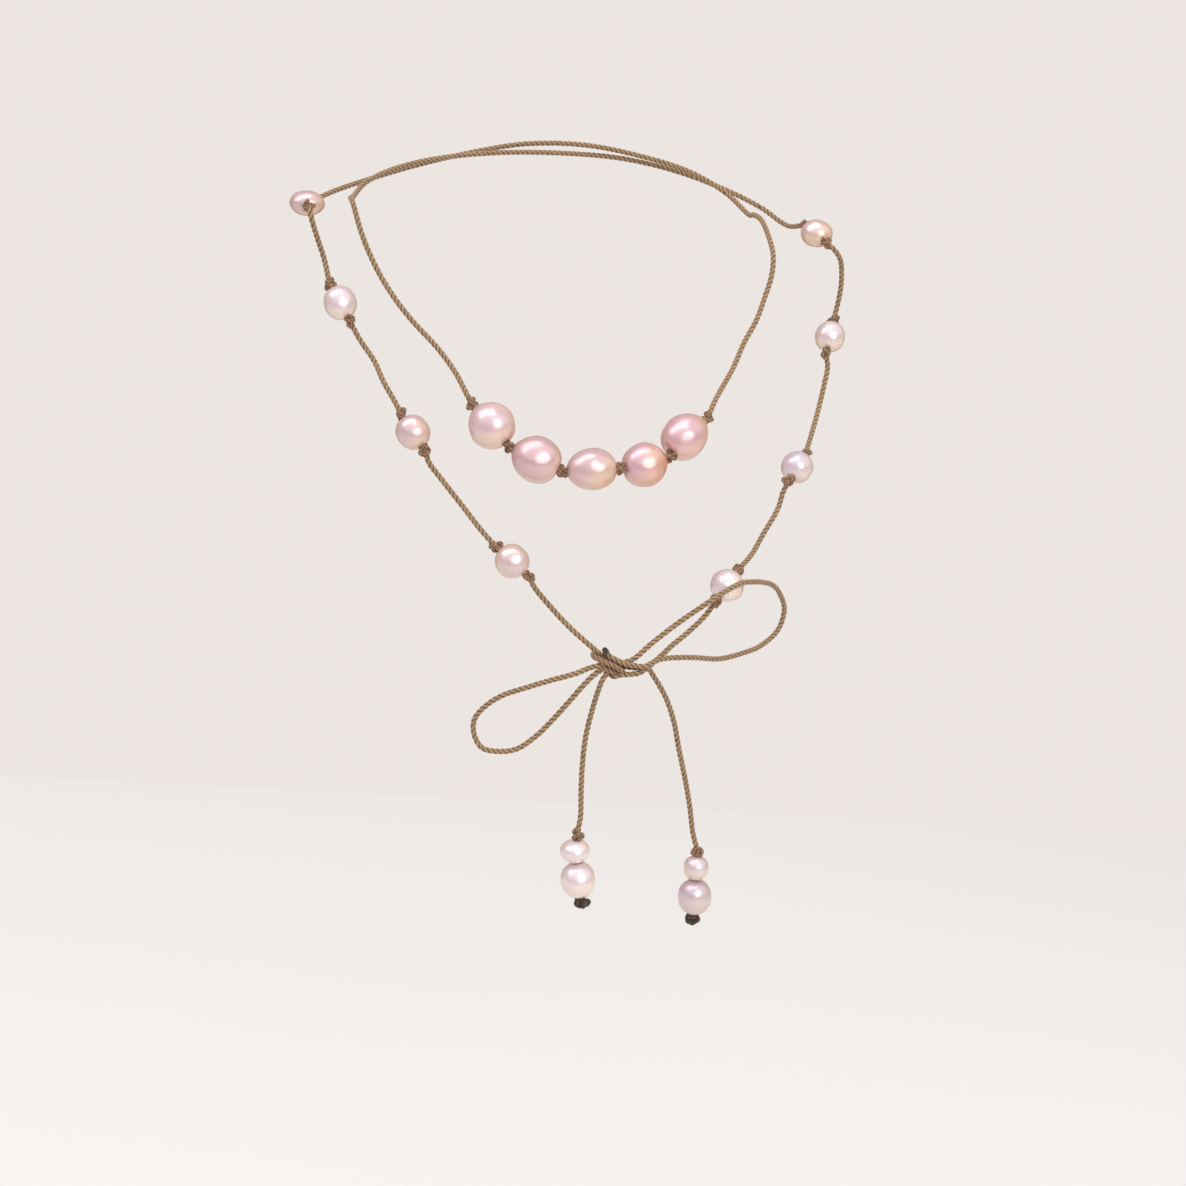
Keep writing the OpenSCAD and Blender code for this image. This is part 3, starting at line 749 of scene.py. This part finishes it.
def floor_look():
    """The pale floor, which runs out into the colour of the wall well away from the necklace."""
    m = plain("floor", FLOOR_COLOUR)
    nodes, links = m.node_tree.nodes, m.node_tree.links
    place = nodes.new("ShaderNodeTexCoord")
    away = nodes.new("ShaderNodeVectorMath")
    away.operation = "LENGTH"
    links.new(place.outputs["Object"], away.inputs[0])
    fade = nodes.new("ShaderNodeMapRange")
    fade.interpolation_type = "SMOOTHSTEP"
    fade.inputs["From Min"].default_value = FADE_START
    fade.inputs["From Max"].default_value = FADE_END
    links.new(away.outputs["Value"], fade.inputs["Value"])
    glow = nodes.new("ShaderNodeEmission")
    glow.inputs["Color"].default_value = (*WALL, 1)
    end = next(n for n in nodes if n.type == "OUTPUT_MATERIAL")
    mix = nodes.new("ShaderNodeMixShader")
    links.new(fade.outputs[0], mix.inputs[0])
    links.new(end.inputs["Surface"].links[0].from_socket, mix.inputs[1])
    links.new(glow.outputs[0], mix.inputs[2])
    links.new(mix.outputs[0], end.inputs["Surface"])
    return m


(left_x, left_y), (right_x, right_y) = FLOOR_EDGE
board(
    "floor",
    [
        (left_x, FLOOR_FRONT, FLOOR_Z), (right_x, FLOOR_FRONT, FLOOR_Z), (right_x, right_y, FLOOR_Z),
        (left_x, left_y, FLOOR_Z),
    ],
    floor_look(),
)


def area(name, from_way, distance, size, radiance, colour, shape="RECTANGLE"):
    """A soft light that shines on the pearls from a direction, with a given brightness of its face."""
    data = bpy.data.lights.new(name, "AREA")
    data.shape, data.size, data.size_y = shape, size[0], size[1]
    face = size[0] * size[1] * (math.pi / 4 if shape in ("DISK", "ELLIPSE") else 1)
    data.energy, data.color = radiance * math.pi * face, colour
    lamp = bpy.data.objects.new(name, data)
    way = Vector(from_way).normalized()
    lamp.location = Vector(LIGHT_AIM) + distance * way
    lamp.rotation_euler = way.to_track_quat("Z", "Y").to_euler()
    lamp.visible_camera = False
    bpy.context.scene.collection.objects.link(lamp)


area("key", (0.2, -0.876, 0.438), 0.62, (0.6, 0.6), 2.9, (1, 0.985, 0.96), "DISK")
area("overhead", (-0.407, 0.056, 0.911), 0.8, (0.5, 1.2), 2.4, (0.98, 0.98, 1))

# The room: a pale wall behind, which the viewer sees, and what the pearls mirror: a bright ceiling,
# a dark side with the viewer in it, and a warm wall behind.
world = bpy.data.worlds.new("studio")
world.use_nodes = True
nodes, links = world.node_tree.nodes, world.node_tree.links
sky = nodes.new("ShaderNodeTexCoord")
parts = nodes.new("ShaderNodeSeparateXYZ")
links.new(sky.outputs["Generated"], parts.inputs[0])
height = maths(nodes, links, "ADD", maths(nodes, links, "MULTIPLY", parts.outputs[2], 0.5), 0.5)
room = ramp(nodes, [
    (0.0, (0.85, 0.76, 0.69, 1)), (0.36, (0.85, 0.76, 0.69, 1)), (0.40, (0.36, 0.30, 0.28, 1)),
    (0.62, (0.36, 0.31, 0.30, 1)), (0.74, (0.90, 0.88, 0.87, 1)), (1.0, (1.05, 1.03, 1.02, 1)),
])
links.new(height, room.inputs[0])
behind = maths(nodes, links, "MULTIPLY", parts.outputs[1], 4.0)
behind.node.use_clamp = True


def blended(factor, a, b):
    """The colour between a and b, each a colour or an output."""
    node = nodes.new("ShaderNodeMix")
    node.data_type = "RGBA"
    for socket, value in ((0, factor), (6, a), (7, b)):
        if isinstance(value, tuple):
            node.inputs[socket].default_value = value
        else:
            links.new(value, node.inputs[socket])
    return node.outputs[2]


mirrored = blended(behind, room.outputs[0], (0.50, 0.37, 0.30, 1))
ray = nodes.new("ShaderNodeLightPath")
seen = blended(ray.outputs["Is Camera Ray"], mirrored, (*WALL, 1))
links.new(seen, nodes["Background"].inputs["Color"])
bpy.context.scene.world = world
bpy.context.scene.view_settings.view_transform = "Standard"
